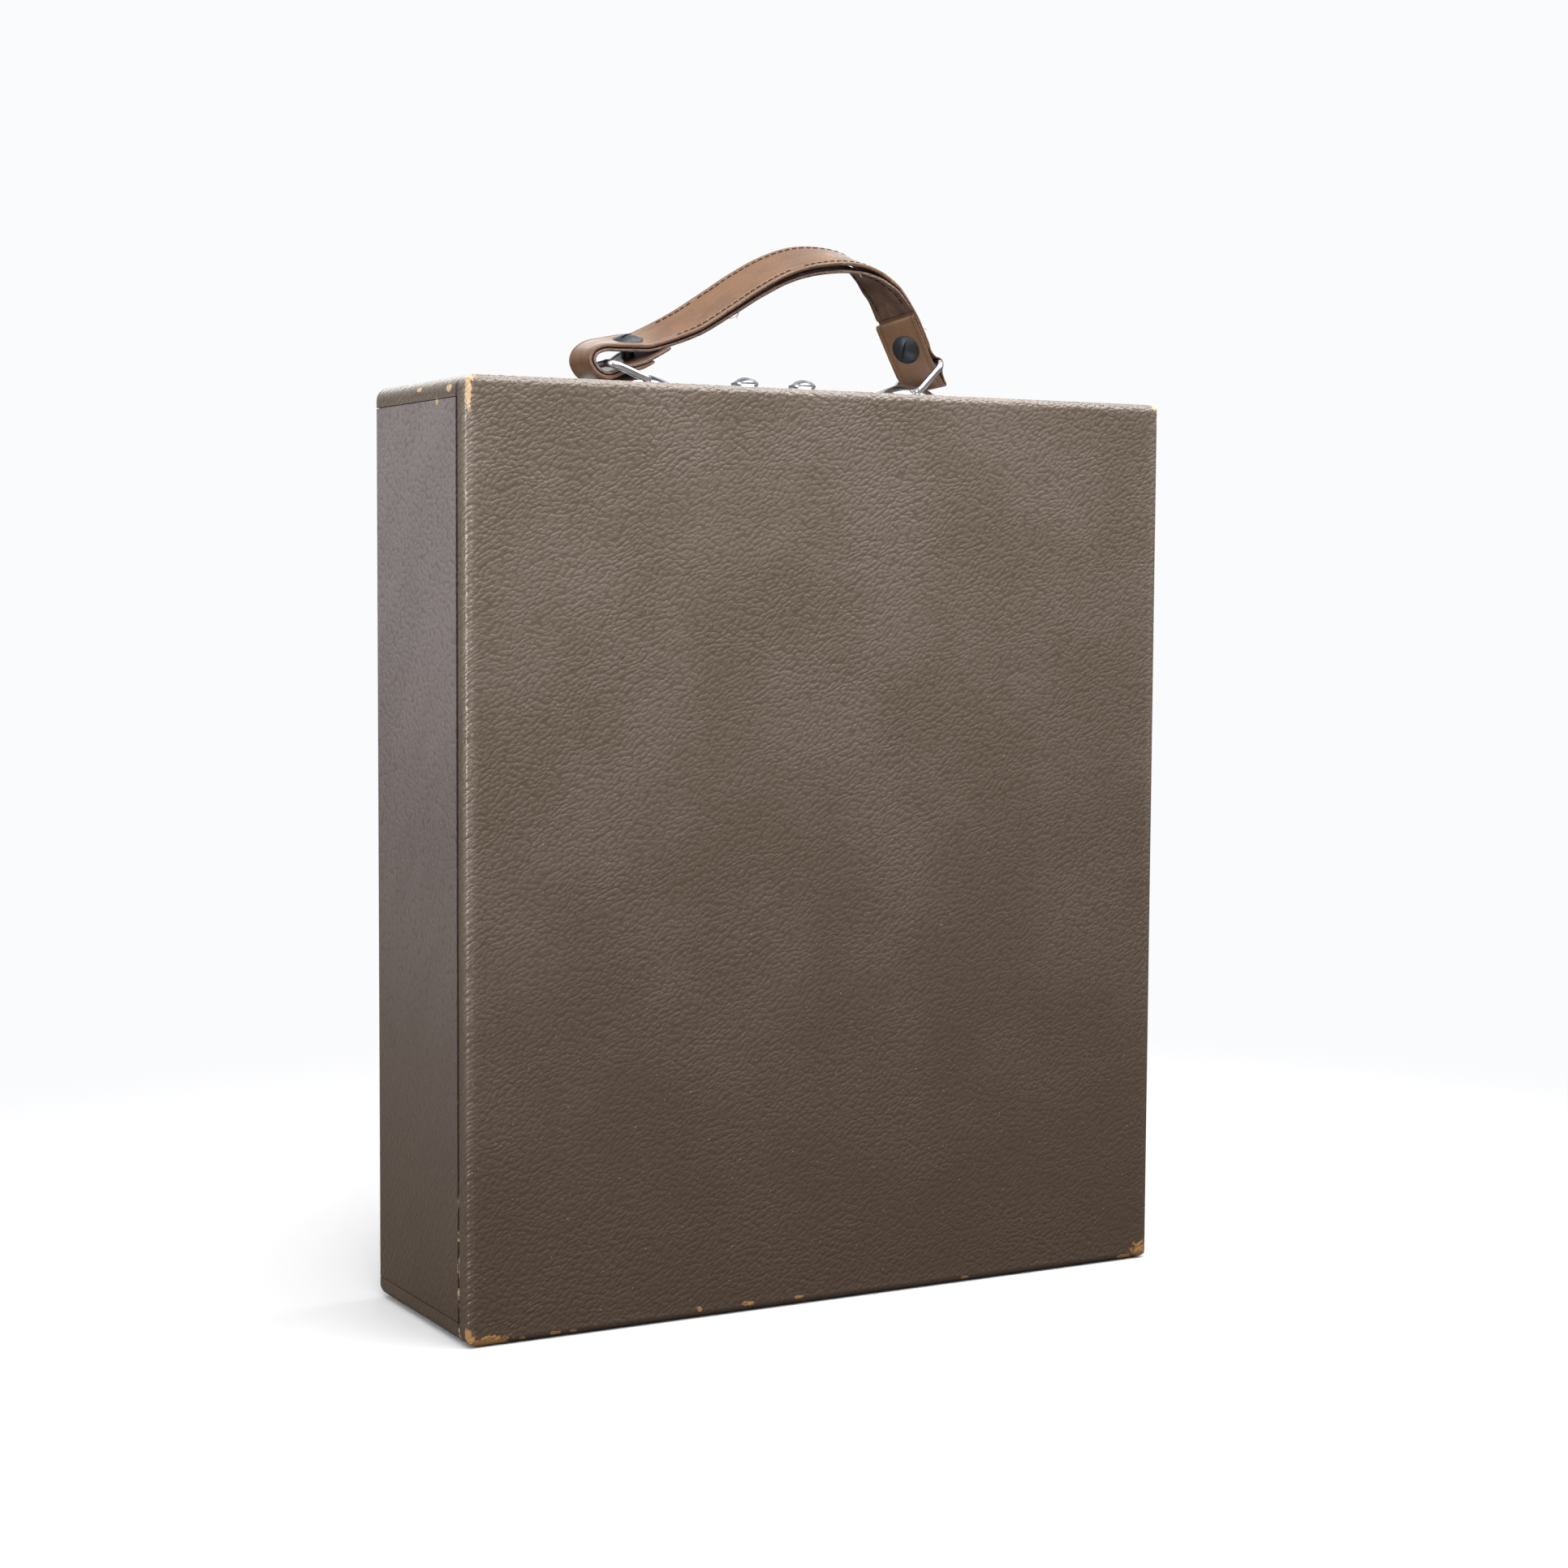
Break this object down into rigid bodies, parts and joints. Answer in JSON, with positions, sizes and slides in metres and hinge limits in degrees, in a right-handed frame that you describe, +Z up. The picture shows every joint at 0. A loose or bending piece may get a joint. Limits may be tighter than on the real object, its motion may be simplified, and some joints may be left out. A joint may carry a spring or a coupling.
{
  "type": "portable typewriter case",
  "caption": "Upright portable typewriter case: leatherette shell, hinged rear panel with feet, twin sliding-button lock and ring-hung leather handle.",
  "frame": {"origin": "on the ground plane, under the middle of the upright case", "axes": "+Z up towards the handle, -Y towards the plain front of the case, +Y towards the hinged panel and its feet, +X to the right seen from the front"},
  "size_m": [0.303, 0.092, 0.4106],
  "materials": {
    "leatherette": "pebbled coated cloth, satin, worn at the edges",
    "plywood": "bare",
    "lining": "matt",
    "strap_leather": "smooth, semi-matt, worn",
    "bright_plate": "polished plate",
    "steel": "zinc plated, dull",
    "blackened_screw": "blackened, satin",
    "rubber": "matt",
    "brass": "turned"
  },
  "bodies": {
    "shell": {"front_board": "plywood", "left_wall": "plywood", "right_wall": "plywood", "top_wall": "plywood", "bottom_wall": "plywood", "panel_stops": "plywood", "shell_lining": "lining", "front_cover": "leatherette", "left_side_cover": "leatherette", "right_side_cover": "leatherette", "left_loop_plate": "bright_plate", "right_loop_plate": "bright_plate", "loop_plate_rivets": "bright_plate", "rivet_washers": "steel", "lock_plate": "bright_plate", "lock_plate_screws": "bright_plate", "lock_housing": "steel", "lock_housing_screws": "steel", "left_shell_leaf": "steel", "right_shell_leaf": "steel", "left_hinge_pin": "steel", "right_hinge_pin": "steel", "hinge_screws_shell": "steel", "left_spring": "steel", "right_spring": "steel"},
    "panel": {"base_board": "plywood", "base_cover": "leatherette", "base_lining": "lining", "left_panel_leaf": "steel", "right_panel_leaf": "steel", "hinge_screws_panel": "steel", "strike": "steel", "strike_screws": "steel", "feet": "rubber", "feet_screws": "steel", "fixing_bushes": "brass"},
    "handle": {"strap": "strap_leather", "strap_liner": "strap_leather", "left_screw": "blackened_screw", "left_post": "blackened_screw", "right_screw": "blackened_screw", "right_post": "blackened_screw"},
    "left_loop": {"left_ring": "bright_plate"},
    "right_loop": {"right_ring": "bright_plate"},
    "left_lock": {"left_latch": "steel", "left_button": "bright_plate"},
    "right_lock": {"right_latch": "steel", "right_button": "bright_plate"}
  },
  "joints": [
    {"name": "panel_hinge", "type": "hinge", "parent": "shell", "child": "panel", "pos_m": [0, 0.0435, 0.0025], "axis": [-1, 0, 0], "range_deg": [0, 90]},
    {"name": "handle_lift", "type": "slide", "parent": "shell", "child": "handle", "axis": [-0.74, 0, 0.6726], "range_m": [0, 0.002]},
    {"name": "left_ring_turn", "type": "hinge", "parent": "shell", "child": "left_loop", "pos_m": [-0.0617, 0, 0.3534], "axis": [0, 1, 0], "range_deg": [0, 12.6]},
    {"name": "right_ring_turn", "type": "hinge", "parent": "shell", "child": "right_loop", "pos_m": [0.0577, 0, 0.3534], "axis": [0, -1, 0], "range_deg": [0, 6.68]},
    {"name": "left_button_slide", "type": "slide", "parent": "shell", "child": "left_lock", "axis": [1, 0, 0], "range_m": [0, 0.0045], "stiffness_N_per_m": 400, "springref_m": -0.004, "deforming": ["left_spring"]},
    {"name": "right_button_slide", "type": "slide", "parent": "shell", "child": "right_lock", "axis": [-1, 0, 0], "range_m": [0, 0.0045], "stiffness_N_per_m": 400, "springref_m": -0.004, "deforming": ["right_spring"]}
  ],
  "couplings": [
    {"joint": "left_ring_turn", "follows": "handle_lift", "rad_per_m": 109.96},
    {"joint": "right_ring_turn", "follows": "handle_lift", "rad_per_m": 58.3}
  ]
}
